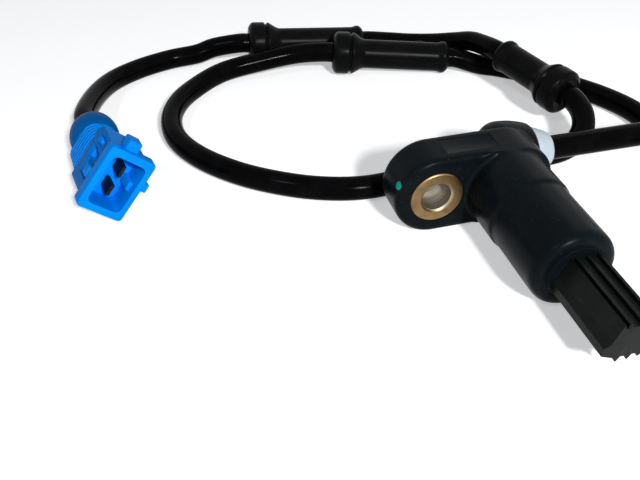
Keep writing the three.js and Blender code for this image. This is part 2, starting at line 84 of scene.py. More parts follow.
# collar: COLLAR_TIP ends the room it has on the cable, TIP_END the collar itself
COLLAR_R = 5.7
COLLAR_TIP_R = 3.85
COLLAR_ROOT_R = 4.7
COLLAR_ROOT_START = 9.5
COLLAR_TIP = 17.5
TIP_END = 16.1

# cable and grommets: FLOOR is the height of the cable's middle where it lies
CABLE_R = 2.87
CABLE_BORE_R = CABLE_R + FIT
JACKET_START = 6.2
FLOOR = CABLE_R + 0.13
DISC_R = 6.1
SLEEVE_R = 4.2
BEAD_R = 4.6
LEAD = 2.5
GROMMETS = [
    (Vector((-39.8, 93.1, 6.6)), Vector((-4.7, 89.4, 4.7))),
    (Vector((-16.8, 80.0, 6.6)), Vector((16.7, 71.4, 4.7))),
    (Vector((34.2, 33.8, 9.3)), Vector((27.1, 57.6, 10.8))),
]

# plug: its open end faces along PLUG_OUT, and its own z is 0 there
PLUG_AT = Vector((-83.1, 23.1, 9.45))
PLUG_ACROSS = Vector((0.744, 0.084, -0.663)).normalized()
PLUG_OUT = PLUG_ACROSS.cross(Vector((0.647, 0.158, 0.746))).normalized()
PLUG_ALONG = PLUG_OUT.cross(PLUG_ACROSS)
PLUG_TURN = Matrix((PLUG_ACROSS, PLUG_ALONG, PLUG_OUT)).transposed().to_4x4()
PLUG_MATRIX = Matrix.Translation(PLUG_AT) @ PLUG_TURN
RIM_W, RIM_H, RIM_T = 11.4, 16.2, 3.6
BODY_W, BODY_H, BODY_BACK = 10, 14.6, -13
SOCKET_W, SOCKET_H, SOCKET_FLOOR = 8.3, 12.4, -7.4
GRIP_BACK, GRIP_RIBS, GRIP_PITCH, GRIP_STEP = -21.2, 6, 1.42, 0.85
# the ribs' height at their near and far end, their shift along it, start and share of the pitch
RIB_NEAR, RIB_FAR, RIB_SHIFT, RIB_START, RIB_SHARE = 12.8, 11.6, -0.8, -21, 0.5
BOOT_R, BOOT_TIP_R, BOOT_CORE_R, BOOT_FLAT = 6.2, 4.5, 4.9, 0.94
BOOT_BACK, DOME_BACK, PLUG_JACKET = -32.6, -30, -26.4
# how dark the darker blue is, and how much of it the rib tops and the side faces take as painted shade
PLUG_DARK, RIB_PAINTED_SHADE, SIDE_PAINTED_SHADE = 0.42, 0.75, 0.62

# the head's middle over the floor is the row frame's origin, in metres
SHIFT = Vector((-(EAR_X - FLANGE_R + COLLAR_TIP) / 2, -(NOSE_END + BOSS_Y + BOSS_R) / 2, 0))
TO_ROW = Matrix.Scale(MM, 4) @ Matrix.Translation(SHIFT)
ON_AXIS = Matrix.Translation((0, 0, AXIS_Z))
IN_EAR = Matrix.Translation((EAR_X, 0, AXIS_Z))
IN_BOSS = Matrix.Translation((0, BOSS_Y, AXIS_Z)) @ Matrix.Rotation(-math.pi / 2, 4, "Z")
ALONG_Z = Matrix.Rotation(math.pi / 2, 4, "X")

# stage: the sky and the floor show white, and light the pieces less than that
CAMERA_AT = (-75.1, -117.4, 104.84)
CAMERA_HEADING = (0.2656, 0.9641, 0)
CAMERA_PITCH = 39.8
CAMERA_SENSOR = 36
LAMPS = (  # name, place, watts, side in metres, colour
    ("key", (10, -490, 370), 3.9, 0.06, (1, 1, 1)),
    ("softbox", (-330, -170, 430), 0.38, 0.06, (0.72, 0.85, 1)),
    ("rear_box", (330, 330, 420), 0.12, 0.2, (1, 1, 1)),
)
LAMPS_AIM = (0, 20, 0)
SKY_LEVEL = 0.06
FLOOR_COLOUR = (0.92, 0.92, 0.93)
FLOOR_REACH = 3                   # half of the floor's side, in metres
FLOOR_NEAR, FLOOR_FAR = 0.3, 1.1  # where the lamps stop lighting the floor, in metres
FLOOR_GLOW = 0.45                 # what the floor adds to itself near the pieces


def in_row(point):
    """A point of the pieces in the row frame, in metres."""
    return (Vector(point) + SHIFT) * MM


def through(number):
    """Points of the cable along a grommet, from its face to its far end."""
    start, end = GROMMETS[number]
    length = (end - start).length
    return [start.lerp(end, far / length) for far in (-LEAD, 0, length / 2, length, length + LEAD)]


def in_plug(z):
    return PLUG_MATRIX @ Vector((0, 0, z))


# the cable's middle from inside the boss to inside the plug
ROUTE = [
    (JACKET_START, BOSS_Y, AXIS_Z), (COLLAR_TIP + 1, BOSS_Y, AXIS_Z), (36, 11.4, 9.4),
    (52, 11.8, 9.0), (64, 12.9, 8.4), (77, 11.5, 6.0), (89, 5.5, 3.6), (97.5, -5, FLOOR),
    (98, -19, FLOOR), (90, -31, FLOOR), (77, -35, FLOOR), (64.5, -30, FLOOR), (57, -17, FLOOR),
    (55, 0, FLOOR), (55.2, 14, FLOOR), (54.4, 30.7, FLOOR),
    (51.2, 39.4, FLOOR), (45.7, 47.9, FLOOR), (39.2, 54.7, FLOOR), (35.6, 60, FLOOR),
    (30.6, 64.4, FLOOR), (25.4, 67.6, 3.1),
    *through(1)[::-1],
    (-27, 82.9, 6.1), (-38.5, 83.2, 4.9), (-50, 82, 3.6), (-59.3, 75.3, FLOOR),
    (-64.7, 68.2, FLOOR), (-67.6, 59.8, FLOOR), (-67.4, 49.8, FLOOR), (-63.4, 40.3, FLOOR),
    (-55.9, 31, FLOOR), (-47.3, 24.1, FLOOR), (-37.6, 18.9, FLOOR), (-27, 16.3, FLOOR),
    (-13, 17.6, FLOOR), (0, 20.9, FLOOR), (5.6, 20.9, FLOOR), (11.7, 20.6, FLOOR),
    (18.2, 17.8, 3.2), (23.6, 16.9, 3.9), (28.7, 18.3, 4.8), (32.7, 21.6, 6.3), (34.8, 26.2, 8),
    *through(2),
    (25.3, 66, 10.1), (24, 71.7, 8.9), (21.3, 77.2, 6.6), (16.5, 82.2, 4.6), (10.6, 85.9, 3.7),
    (5, 88, 3.8),
    *through(0)[::-1],
    (-50.5, 95.6, 5.2), (-55.2, 95.4, 4.0), (-63.9, 95.4, 3.2), (-73.3, 92.1, FLOOR),
    (-80.7, 86.4, 3.3), (-85.9, 76.6, 4.6),
    in_plug(BOOT_BACK - 5), in_plug(BOOT_BACK), in_plug(PLUG_JACKET),
]


def smooth_route(points, steps=10):
    """The same smooth line through the points that the solid cable follows."""
    points = [Vector(p) for p in points]
    knots = [2 * points[0] - points[1], *points, 2 * points[-1] - points[-2]]
    line = []
    for p0, p1, p2, p3 in zip(knots, knots[1:], knots[2:], knots[3:]):
        t1 = (p1 - p0).length ** 0.5
        t2 = t1 + (p2 - p1).length ** 0.5
        t3 = t2 + (p3 - p2).length ** 0.5
        for i in range(steps):
            t = t1 + (t2 - t1) * i / steps
            a1 = p0.lerp(p1, t / t1)
            a2 = p1.lerp(p2, (t - t1) / (t2 - t1))
            a3 = p2.lerp(p3, (t - t2) / (t3 - t2))
            b1 = a1.lerp(a2, t / t2)
            b2 = a2.lerp(a3, (t - t1) / (t3 - t1))
            line.append(b1.lerp(b2, (t - t1) / (t2 - t1)))
    line.append(points[-1])
    return line


# shader nodes written as expressions
class Value:
    """A shader socket that takes part in sums and products."""

    def __init__(self, tree, socket):
        self.tree = tree
        self.socket = socket

    def maths(self, operation, *others):
        return shade(self.tree, "ShaderNodeMath", {"operation": operation}, [self, *others])

    def __add__(self, other):
        return self.maths("ADD", other)

    def __sub__(self, other):
        return self.maths("SUBTRACT", other)

    def __rsub__(self, other):
        return shade(self.tree, "ShaderNodeMath", {"operation": "SUBTRACT"}, [other, self])

    def __mul__(self, other):
        return self.maths("MULTIPLY", other)

    def __truediv__(self, other):
        return self.maths("DIVIDE", other)

    def __lt__(self, other):
        return self.maths("LESS_THAN", other)

    def __gt__(self, other):
        return self.maths("GREATER_THAN", other)

    def step(self, low, high):
        """0 below low, 1 above high, smooth between."""
        return shade(self.tree, "ShaderNodeMapRange", {"interpolation_type": "SMOOTHSTEP"},
                     [self, low, high, 0.0, 1.0])


def shade(tree, kind, settings=None, values=None, out=0):
    """Adds a node: its settings first, then the values or links of its sockets."""
    node = tree.nodes.new(kind)
    for name, setting in (settings or {}).items():
        setattr(node, name, setting)
    pairs = values.items() if isinstance(values, dict) else enumerate(values or [])
    for name, value in pairs:
        if isinstance(value, Value):
            tree.links.new(value.socket, node.inputs[name])
        else:
            node.inputs[name].default_value = value
    return Value(tree, node.outputs[out])


def mix(tree, mask, first, second):
    """One colour to another by a mask. A colour is a Value or three numbers."""
    node = tree.nodes.new("ShaderNodeMix")
    node.data_type = "RGBA"
    tree.links.new(mask.socket, node.inputs[0])
    for socket, colour in ((node.inputs[6], first), (node.inputs[7], second)):
        if isinstance(colour, Value):
            tree.links.new(colour.socket, socket)
        else:
            socket.default_value = (*colour, 1)
    return Value(tree, node.outputs[2])


def times(colour, factor):
    """A colour made lighter or darker."""
    return tuple(min(1, part * factor) for part in colour)


def seen_rays(tree):
    """1 for the camera and for what shows in metal and glass, 0 for diffuse light."""
    paths = tree.nodes.new("ShaderNodeLightPath")
    seen = Value(tree, paths.outputs["Is Camera Ray"])
    for ray_kind in ("Is Glossy Ray", "Is Transmission Ray"):
        seen = seen.maths("MAXIMUM", Value(tree, paths.outputs[ray_kind]))
    return seen


class Finish:
    """A material under construction, with the pieces that every finish uses."""

    def __init__(self, name, colour, roughness, metallic=0.0, specular=0.5):
        self.material = bpy.data.materials.new(name)
        self.material.use_nodes = True
        self.tree = self.material.node_tree
        self.shader = self.tree.nodes["Principled BSDF"]
        self.shader.inputs["Base Color"].default_value = (*colour, 1)
        self.shader.inputs["Roughness"].default_value = roughness
        self.shader.inputs["Metallic"].default_value = metallic
        self.shader.inputs["Specular IOR Level"].default_value = specular
        self.place = shade(self.tree, "ShaderNodeTexCoord", out=3)

    def noise(self, scale, detail, rough=0.55, stretch=None):
        """Noise of a scale in cells per metre, 0 to 1."""
        where = self.place
        if stretch:
            where = shade(self.tree, "ShaderNodeMapping", {}, {"Vector": where, "Scale": stretch})
        return shade(self.tree, "ShaderNodeTexNoise", {},
                     {"Vector": where, "Scale": scale, "Detail": detail, "Roughness": rough})

    def axis(self, index):
        """The place along x, y or z of the row frame, in metres."""
        return shade(self.tree, "ShaderNodeSeparateXYZ", {}, [self.place], out=index)

    def vector(self, operation, other=None):
        """A number from the place and another vector, such as a distance or a product."""
        values = [self.place] if other is None else [self.place, tuple(other)]
        return shade(self.tree, "ShaderNodeVectorMath", {"operation": operation}, values, out=1)

    def set(self, socket, value):
        """Links a value to the shader."""
        self.tree.links.new(value.socket, self.shader.inputs[socket])

    def tint(self, mask, colour):
        """Puts another colour over the base colour by a mask."""
        base = Value(self.tree, self.shader.inputs["Base Color"].links[0].from_socket)
        self.set("Base Color", mix(self.tree, mask, base, colour))

    def bump(self, height, depth, strength):
        """Relief of a depth in metres."""
        self.set("Normal", shade(self.tree, "ShaderNodeBump", {},
                                 {"Height": height, "Strength": strength, "Distance": depth}))


def moulded(name, colour, pale, roughness, depth=0.00002, specular=0.5):
    """Moulded plastic with a fine grain, soft mottling and a few specks of dust."""
    finish = Finish(name, colour, roughness, specular=specular)
    mottle = finish.noise(scale=160.0, detail=4.0)
    grain = finish.noise(scale=9000.0, detail=2.0)
    specks = finish.noise(scale=1900.0, detail=1.0, rough=0.4).step(0.72, 0.78)
    body = mix(finish.tree, mottle.step(0.35, 0.75), colour, pale)
    dust = tuple(min(1, part + 0.12) for part in pale)
    finish.set("Base Color", mix(finish.tree, specks * 0.14, body, dust))
    finish.set("Roughness", mottle * 0.16 + (roughness - 0.08))
    finish.bump(grain, depth, strength=0.5)
    return finish


def turned_metal(name, colour, roughness):
    """Turned metal: faint tool marks and a patchy tarnish."""
    finish = Finish(name, colour, roughness, metallic=1.0)
    patch = finish.noise(scale=420.0, detail=4.0)
    finish.set("Base Color", mix(finish.tree, patch.step(0.42, 0.8), colour, times(colour, 0.62)))
    finish.set("Roughness", patch * 0.3 + (roughness - 0.12))
    finish.bump(finish.noise(scale=5200.0, detail=2.0), 0.00001, strength=0.35)
    return finish


# mesh helpers
def turned(profile, steps=64, matrix=None):
    """A piece turned about y, from (radius, y) pairs that close on the axis or on themselves."""
    bm = bmesh.new()
    verts = [bm.verts.new((r, y, 0)) for r, y in profile]
    pairs = list(zip(verts, verts[1:]))
    if profile[0][0] > 0:
        pairs.append((verts[-1], verts[0]))
    edges = [bm.edges.new(pair) for pair in pairs]
    bmesh.ops.spin(bm, geom=verts + edges, cent=(0, 0, 0), axis=(0, 1, 0), angle=2 * math.pi,
                   steps=steps, use_merge=True)
    bmesh.ops.remove_doubles(bm, verts=bm.verts, dist=1e-4)
    bmesh.ops.dissolve_degenerate(bm, edges=bm.edges, dist=1e-5)
    bmesh.ops.recalc_face_normals(bm, faces=bm.faces)
    if matrix:
        bmesh.ops.transform(bm, matrix=matrix, verts=bm.verts)
    return bm


def rod(radius, y0, y1, steps, matrix):
    """A plain round bar from y0 to y1."""
    return turned([(0, y0), (radius, y0), (radius, y1), (0, y1)], steps, matrix)


def softened(points, steps=4):
    """Rounds each corner of a profile: points are (radius, y) or (radius, y, rounding)."""
    out = []
    for i, point in enumerate(points):
        round_by = point[2] if len(point) > 2 else 0
        if not round_by or i in (0, len(points) - 1):
            out.append((point[0], point[1]))
            continue
        here = Vector(point[:2])
        back = Vector(points[i - 1][:2]) - here
        ahead = Vector(points[i + 1][:2]) - here
        reach = min(round_by, back.length * 0.49, ahead.length * 0.49)
        start = here + back.normalized() * reach
        end = here + ahead.normalized() * reach
        for k in range(steps + 1):
            t = k / steps
            spot = start.lerp(here, t).lerp(here.lerp(end, t), t)
            out.append((spot.x, spot.y))
    return out


def rounded(bm, edges, offset, segments):
    """Bevels some edges of a bmesh."""
    bmesh.ops.bevel(bm, geom=edges, offset=offset, affect="EDGES", segments=segments,
                    profile=0.5, material=-1)


def box(x0, x1, y0, y1, z0, z1, edge=0.0, segments=2):
    """A block between its faces, with its edges rounded."""
    bm = bmesh.new()
    bmesh.ops.create_cube(bm, size=1)
    bmesh.ops.scale(bm, vec=(x1 - x0, y1 - y0, z1 - z0), verts=bm.verts)
    bmesh.ops.translate(bm, vec=((x0 + x1) / 2, (y0 + y1) / 2, (z0 + z1) / 2), verts=bm.verts)
    if edge:
        rounded(bm, bm.edges[:], edge, segments)
    return bm


def pillar(width, height, radius, z0, z1, edge=0.0):
    """A block with round corners, standing along z."""
    bm = box(-width / 2, width / 2, -height / 2, height / 2, z0, z1)
    upright = [e for e in bm.edges if abs(e.verts[0].co.z - e.verts[1].co.z) > 1e-4]
    rounded(bm, upright, radius, segments=5)
    if edge:
        rims = [e for e in bm.edges if abs(e.verts[0].co.z - e.verts[1].co.z) < 1e-4]
        rims = [e for e in rims if len(e.link_faces) == 2 and e.calc_face_angle() > 1]
        rounded(bm, rims, edge, segments=2)
    return bm


def flange(y0, y1, edge=0.0, steps=48):
    """The flange's outline with its two round ends, from y0 to y1."""
    bm = bmesh.new()
    bmesh.ops.create_circle(bm, cap_ends=True, segments=2 * steps, radius=FLANGE_R)
    for vert in bm.verts:
        vert.co.x += FLANGE_X if vert.co.x > -1e-6 else EAR_X
    more = bmesh.ops.extrude_face_region(bm, geom=bm.faces[:])
    moved = [g for g in more["geom"] if isinstance(g, bmesh.types.BMVert)]
    bmesh.ops.translate(bm, vec=(0, 0, y1 - y0), verts=moved)
    bmesh.ops.recalc_face_normals(bm, faces=bm.faces)
    if edge:
        rims = [e for e in bm.edges if len(e.link_faces) == 2 and e.calc_face_angle() > 1]
        rounded(bm, rims, edge, segments=5)
    turn = Matrix.Translation((0, y0, AXIS_Z)) @ Matrix.Rotation(-math.pi / 2, 4, "X")
    bmesh.ops.transform(bm, matrix=turn, verts=bm.verts)
    bmesh.ops.recalc_face_normals(bm, faces=bm.faces)
    return bm


def holder(name, bm):
    """An object for a bmesh, which is freed."""
    mesh = bpy.data.meshes.new(name)
    bm.to_mesh(mesh)
    bm.free()
    obj = bpy.data.objects.new(name, mesh)
    bpy.context.scene.collection.objects.link(obj)
    return obj


def apply_all(obj):
    """Turns an object's modifiers into its mesh."""
    bpy.context.view_layer.update()
    graph = bpy.context.evaluated_depsgraph_get()
    mesh = bpy.data.meshes.new_from_object(obj.evaluated_get(graph))
    old = obj.data
    obj.modifiers.clear()
    obj.data = mesh
    bpy.data.meshes.remove(old)


def combine(obj, others, operation):
    """Joins other solids to an object or cuts them from it."""
    for number, bm in enumerate(others):
        tool = holder(f"tool_{number}", bm)
        change = obj.modifiers.new("combine", "BOOLEAN")
        change.operation = operation
        change.solver = "EXACT"
        change.object = tool
        apply_all(obj)
        bpy.data.objects.remove(tool)


def merged_soft(name, solids, voxel, smoothing):
    """Solids run together into one skin with soft joins."""
    whole = bmesh.new()
    for bm in solids:
        part_mesh = bpy.data.meshes.new("part")
        bm.to_mesh(part_mesh)
        bm.free()
        whole.from_mesh(part_mesh)
        bpy.data.meshes.remove(part_mesh)
    obj = holder(name, whole)
    skin = obj.modifiers.new("skin", "REMESH")
    skin.mode = "VOXEL"
    skin.voxel_size = voxel
    skin.adaptivity = 0.0
    ease = obj.modifiers.new("ease", "CORRECTIVE_SMOOTH")
    ease.iterations = smoothing
    ease.use_only_smooth = True
    apply_all(obj)
    return obj


def finished(obj, finish, node, angle, matrix=None):
    place = TO_ROW @ matrix if matrix else TO_ROW
    bm = bmesh.new()
    bm.from_mesh(obj.data)
    bmesh.ops.remove_doubles(bm, verts=bm.verts, dist=1e-4)
    bmesh.ops.transform(bm, matrix=place, verts=bm.verts)
    bm.to_mesh(obj.data)
    bm.free()
    obj.data.shade_smooth()
    obj.data.set_sharp_from_angle(angle=math.radians(angle))
    obj.data.materials.clear()
    obj.data.materials.append(finish.material)
    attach(obj, "root")
    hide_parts(node)


def even_shading(obj):
    """Keeps large flat faces flat beside their rounded edges."""
    evened = obj.modifiers.new("even shading", "WEIGHTED_NORMAL")
    evened.keep_sharp = True


class SensorSizes(bpy.types.PropertyGroup):
    """Sizes of the sensor that a user would change."""

    cable_sides: IntProperty(
        name="Cable sides", description="Fineness of the cable's round section", default=12)
    skin_step: FloatProperty(
        name="Skin step", description="Size of the head's surface cells, in millimetres", default=0.32)
    camera_lens: FloatProperty(
        name="Lens", description="Focal length of the camera, in millimetres", default=41.46)


class SensorColours(bpy.types.PropertyGroup):
    """Colours of the sensor that a user would change."""

    head: FloatVectorProperty(
        name="Head", description="Colour of the moulded head", subtype="COLOR",
        default=(0.0028, 0.0045, 0.0058))
    bush: FloatVectorProperty(
        name="Bush", description="Colour of the bolt bush", subtype="COLOR", default=(0.26, 0.17, 0.075))
    nose: FloatVectorProperty(
        name="Nose", description="Colour of the ribbed nose", subtype="COLOR",
        default=(0.006, 0.0076, 0.0062))
    cable: FloatVectorProperty(
        name="Cable", description="Colour of the cable's jacket", subtype="COLOR",
        default=(0.0014, 0.0014, 0.0016))
    collar: FloatVectorProperty(
        name="Collar", description="Colour of the cable's collar", subtype="COLOR",
        default=(0.50, 0.58, 0.65))
    plug: FloatVectorProperty(
        name="Plug", description="Colour of the plug", subtype="COLOR", default=(0.001, 0.235, 0.80))


def sizes():
    return bpy.context.scene.sensor_sizes


def colours():
    return bpy.context.scene.sensor_colours


class SENSOR_OT_stage(bpy.types.Operator):
    """Add the camera, the floor and the lamps"""

    bl_idname = "sensor.stage"
    bl_label = "Stage"

    def execute(self, context):
        camera_data = bpy.data.cameras.new("camera")
        camera_data.lens = sizes().camera_lens
        camera_data.sensor_width = CAMERA_SENSOR
        camera_data.sensor_fit = "HORIZONTAL"
        camera_data.clip_start = 0.01
        camera = bpy.data.objects.new("camera", camera_data)
        context.scene.collection.objects.link(camera)
        pitch = math.radians(CAMERA_PITCH)
        heading = Vector(CAMERA_HEADING).normalized()
        ahead = heading * math.cos(pitch) - Vector((0, 0, math.sin(pitch)))
        camera.location = in_row(CAMERA_AT)
        camera.rotation_euler = ahead.to_track_quat("-Z", "Y").to_euler()
        context.scene.camera = camera

        floor_bm = bmesh.new()
        bmesh.ops.create_grid(floor_bm, x_segments=1, y_segments=1, size=FLOOR_REACH)
        floor = holder("floor", floor_bm)
        ground = Finish("floor", FLOOR_COLOUR, 0.9, specular=0.1)
        tree = ground.tree
        glow = tree.nodes.new("ShaderNodeEmission")
        away = ground.vector("LENGTH")
        level = away.step(FLOOR_NEAR, FLOOR_FAR) * (1 - FLOOR_GLOW) + FLOOR_GLOW
        tree.links.new((seen_rays(tree) * level).socket, glow.inputs["Strength"])
        both = tree.nodes.new("ShaderNodeAddShader")
        tree.links.new(ground.shader.outputs[0], both.inputs[0])
        tree.links.new(glow.outputs[0], both.inputs[1])
        tree.links.new(both.outputs[0], tree.nodes["Material Output"].inputs["Surface"])
        floor.data.materials.append(ground.material)

        world = bpy.data.worlds.new("studio")
        context.scene.world = world
        world.use_nodes = True
        sky = world.node_tree
        background = sky.nodes["Background"]
        strength = seen_rays(sky) * (1 - SKY_LEVEL) + SKY_LEVEL
        sky.links.new(strength.socket, background.inputs["Strength"])
        background.inputs["Color"].default_value = (1, 1, 1, 1)

        for name, spot, power, size, tint in LAMPS:
            lamp_data = bpy.data.lights.new(name, "AREA")
            lamp_data.energy = power
            lamp_data.size = size
            lamp_data.color = tint
            lamp = bpy.data.objects.new(name, lamp_data)
            context.scene.collection.objects.link(lamp)
            lamp.location = in_row(spot)
            aim = in_row(LAMPS_AIM) - lamp.location
            lamp.rotation_euler = aim.to_track_quat("-Z", "Y").to_euler()
        context.scene.view_settings.view_transform = "Standard"
        return {"FINISHED"}


class SENSOR_OT_head(bpy.types.Operator):
    """Add the moulded head: flange, barrel and boss in one skin"""

    bl_idname = "sensor.head"
    bl_label = "Head"

    def execute(self, context):
        barrel = softened([
            (0, FLANGE_T / 2), (ROOT_R, FLANGE_T / 2), (ROOT_R, ROOT_END + 0.25, 0.3),
            (BARREL_R, ROOT_END - 0.1, 0.3), (BARREL_R, BARREL_END, BARREL_EDGE), (0, BARREL_END)],
            steps=8)
        boss = softened([
            (0, BOSS_START), (BOSS_R - 1.2, BOSS_START, 1), (BOSS_R, BOSS_START + 2.2, 1.6),
            (BOSS_R - 0.25, BOSS_END - 4.7, 2), (BOSS_R - 0.9, BOSS_END - 2, 1.6),
            (COLLAR_R + 1.1, BOSS_END - 0.4, 1), (COLLAR_R + 0.4, BOSS_END, 0.3), (0, BOSS_END)],
            steps=8)
        fillet = softened([
            (0, 1), (ROOT_R + ROOT_FILLET, 1), (ROOT_R + ROOT_FILLET, 0), (ROOT_R, 0, ROOT_FILLET),
            (ROOT_R, -ROOT_FILLET), (0, -ROOT_FILLET)], steps=6)
        rim = holder("fillet", turned(fillet, 96, ON_AXIS))
        combine(rim, [flange(-ROOT_FILLET - 1, 2)], "INTERSECT")
        fillet_bm = bmesh.new()
        fillet_bm.from_mesh(rim.data)
        bpy.data.objects.remove(rim)
        head = merged_soft("head", [
            flange(0, FLANGE_T, FLANGE_EDGE),
            turned(barrel, 96, ON_AXIS),
            turned(boss, 96, IN_BOSS),
            fillet_bm,
        ], voxel=sizes().skin_step, smoothing=4)
        combine(head, [
            rod(BUSH_R + FIT, -1, FLANGE_T + 1, 96, IN_EAR),
            rod(NOSE_R + FIT, BARREL_END - 1, BARREL_END + NOSE_SEAT, 64, ON_AXIS),
            rod(COLLAR_ROOT_R + 3 * FIT, COLLAR_ROOT_START - 0.5, BOSS_END + 1, 64, IN_BOSS),
            box(*RECESS, 2 * AXIS_Z - RECESS_DEEP, 2 * AXIS_Z + 1, 0.1),
        ], "DIFFERENCE")
        tint = tuple(colours().head)
        finish = moulded("black_plastic", tint, times(tint, 1.7), 0.28, specular=0.036)
        from_mark = finish.vector("DISTANCE", in_row(MARK))
        finish.tint(1 - from_mark.step(MARK_R * MM, MARK_FADE_R * MM), MARK_COLOUR)
        finished(head, finish, "head_housing", angle=50)
        return {"FINISHED"}


class SENSOR_OT_bush(bpy.types.Operator):
    """Add the turned bush of the bolt hole"""

    bl_idname = "sensor.bush"
    bl_label = "Bolt bush"

    def execute(self, context):
        top, middle = -BUSH_PROUD, FLANGE_T / 2
        lead_in, top_edge, end_edge = 0.5, 0.35, 0.4
        ring = softened([
            (BUSH_BORE_R, middle), (BUSH_BORE_R, top + lead_in, 0.15), (BUSH_BORE_R + lead_in, top, 0.15),
            (BUSH_R - top_edge, top, 0.15), (BUSH_R, top + top_edge, 0.15),
            (BUSH_R, FLANGE_T - end_edge, 0.1), (BUSH_R - end_edge, FLANGE_T, 0.1),
            (BUSH_BORE_R + lead_in, FLANGE_T, 0.1), (BUSH_BORE_R, FLANGE_T - lead_in, 0.1),
            (BUSH_BORE_R, middle + 0.01)], steps=3)
        bush = holder("bush", turned(ring, 96, IN_EAR))
        finish = turned_metal("brass", tuple(colours().bush), 0.36)
        hub = in_row((EAR_X, 0, AXIS_Z))
        across, height = finish.axis(0) - hub.x, finish.axis(2) - hub.z
        radius = (across * across + height * height).maths("POWER", 0.5)
        # the bore is painted a pale grey-brass, a painted reflection of its bright inside, banded by turning
        # rings
        bore_painted_reflection = 1 - radius.step((BUSH_BORE_R + 0.1) * MM, (BUSH_BORE_R + 0.4) * MM)
        rings = finish.noise(scale=2600.0, detail=2.0, rough=0.5, stretch=(0.02, 1, 0.02))
        finish.tint(bore_painted_reflection, mix(finish.tree, rings.step(0.35, 0.7), (0.46, 0.42, 0.33), (0.24, 0.21, 0.16)))
        finished(bush, finish, "mounting_bush", angle=35)
        return {"FINISHED"}


class SENSOR_OT_nose(bpy.types.Operator):
    """Add the ribbed nose that stands out of the barrel"""

    bl_idname = "sensor.nose"
    bl_label = "Nose"

    def execute(self, context):
        side = 5
        tooth_foot, tooth_tip = -3.9, -5
        rib_foot, rib_top_painted_shade = 3.4, 4.35
        outline = [(-side, -2.75)]
        for x in (-1.6, 0.7, 3):
            outline += [(x - 0.75, tooth_foot), (x - 0.12, tooth_tip),
                        (x + 0.12, tooth_tip), (x + 0.75, tooth_foot)]
        outline += [(4.6, -2.8), (side, 2.4)]
        for x in (3.85, 1.45, -0.95):
            outline += [(x + 0.375, rib_foot), (x + 0.3, rib_top_painted_shade), (x - 0.3, rib_top_painted_shade), (x - 0.375, rib_foot)]
        outline += [(-1.8, rib_foot), (-2.1, rib_top_painted_shade), (-3.7, -0.15), (-side, -0.85)]
        bm = bmesh.new()
        face = bm.faces.new([bm.verts.new((x, NOSE_END, AXIS_Z + z)) for x, z in outline])
        more = bmesh.ops.extrude_face_region(bm, geom=[face])
        moved = [g for g in more["geom"] if isinstance(g, bmesh.types.BMVert)]
        bmesh.ops.translate(bm, vec=(0, BARREL_END + 1 - NOSE_END, 0), verts=moved)
        bmesh.ops.recalc_face_normals(bm, faces=bm.faces)
        nose = holder("nose", bm)
        round_end = softened([
            (0, NOSE_END), (NOSE_R - 0.5, NOSE_END, 0.3), (NOSE_R, NOSE_END + 0.5, 0.3),
            (NOSE_R, BARREL_END + 1), (0, BARREL_END + 1)])
        seat = BARREL_END + NOSE_SEAT + 0.6
        root = softened([
            (0, BARREL_END - FIT), (NOSE_R - FIT, BARREL_END - FIT, 0.1), (NOSE_R - FIT, seat), (0, seat)])
        combine(nose, [turned(round_end, 64, ON_AXIS)], "INTERSECT")
        combine(nose, [turned(root, 64, ON_AXIS)], "UNION")
        round_off = nose.modifiers.new("edges", "BEVEL")
        round_off.width = 0.14
        round_off.segments = 2
        round_off.limit_method = "ANGLE"
        round_off.angle_limit = math.radians(40)
        apply_all(nose)
        tint = tuple(colours().nose)
        finish = moulded("nose_plastic", tint, times(tint, 1.6), 0.32, specular=0.06)
        at_root = finish.axis(1).step((BARREL_END - 0.35 + SHIFT.y) * MM, (BARREL_END - 0.2 + SHIFT.y) * MM)
        finish.tint(at_root, times(colours().head, 1.2))
        finished(nose, finish, "probe_carrier", angle=35)
        even_shading(nose)
        return {"FINISHED"}


class SENSOR_OT_collar(bpy.types.Operator):
    """Add the white collar round the cable"""

    bl_idname = "sensor.collar"
    bl_label = "Collar"

    def execute(self, context):
        face = BOSS_END - 0.02
        profile = softened([
            (CABLE_BORE_R, COLLAR_ROOT_START), (COLLAR_ROOT_R, COLLAR_ROOT_START, 0.1), (COLLAR_ROOT_R, face),
            (COLLAR_R, face, 0.1), (COLLAR_R, BOSS_END + 0.9, 0.6), (COLLAR_R - 0.6, BOSS_END + 2.4, 0.8),
            (COLLAR_R - 1.2, BOSS_END + 3.9, 0.8), (COLLAR_TIP_R + 0.2, TIP_END - 0.3, 0.3),
            (COLLAR_TIP_R, TIP_END, 0.2), (CABLE_BORE_R, TIP_END, 0.1),
            (CABLE_BORE_R, COLLAR_ROOT_START + 0.1)])
        collar = holder("collar", turned(profile, 64, IN_BOSS))
        tint = tuple(colours().collar)
        finish = moulded("white_plastic", tint, times(tint, 1.08), 0.4)
        finished(collar, finish, "cable_collar", angle=35)
        return {"FINISHED"}


def grommet_profile(length):
    """A grommet from its face: the grooved disc, a shoulder, the sleeve and the end bead."""
    groove, shoulder_r = 5.25, 5.2
    return softened([
        (CABLE_BORE_R, 0.3), (BEAD_R, 0, 0.3), (DISC_R, 1, 0.7),
        (DISC_R, groove - 0.55, 0.3), (DISC_R - 0.8, groove, 0.3), (DISC_R, groove + 0.65, 0.5),
        (shoulder_r, 7.4, 0.8), (SLEEVE_R, 9, 1.5), (SLEEVE_R, length - 3, 0.8),
        (BEAD_R, length - 1.9, 0.4), (BEAD_R, length - 1.0, 0.5),
        (SLEEVE_R - 0.5, length, 0.2), (CABLE_BORE_R, length - 0.1)], steps=5)


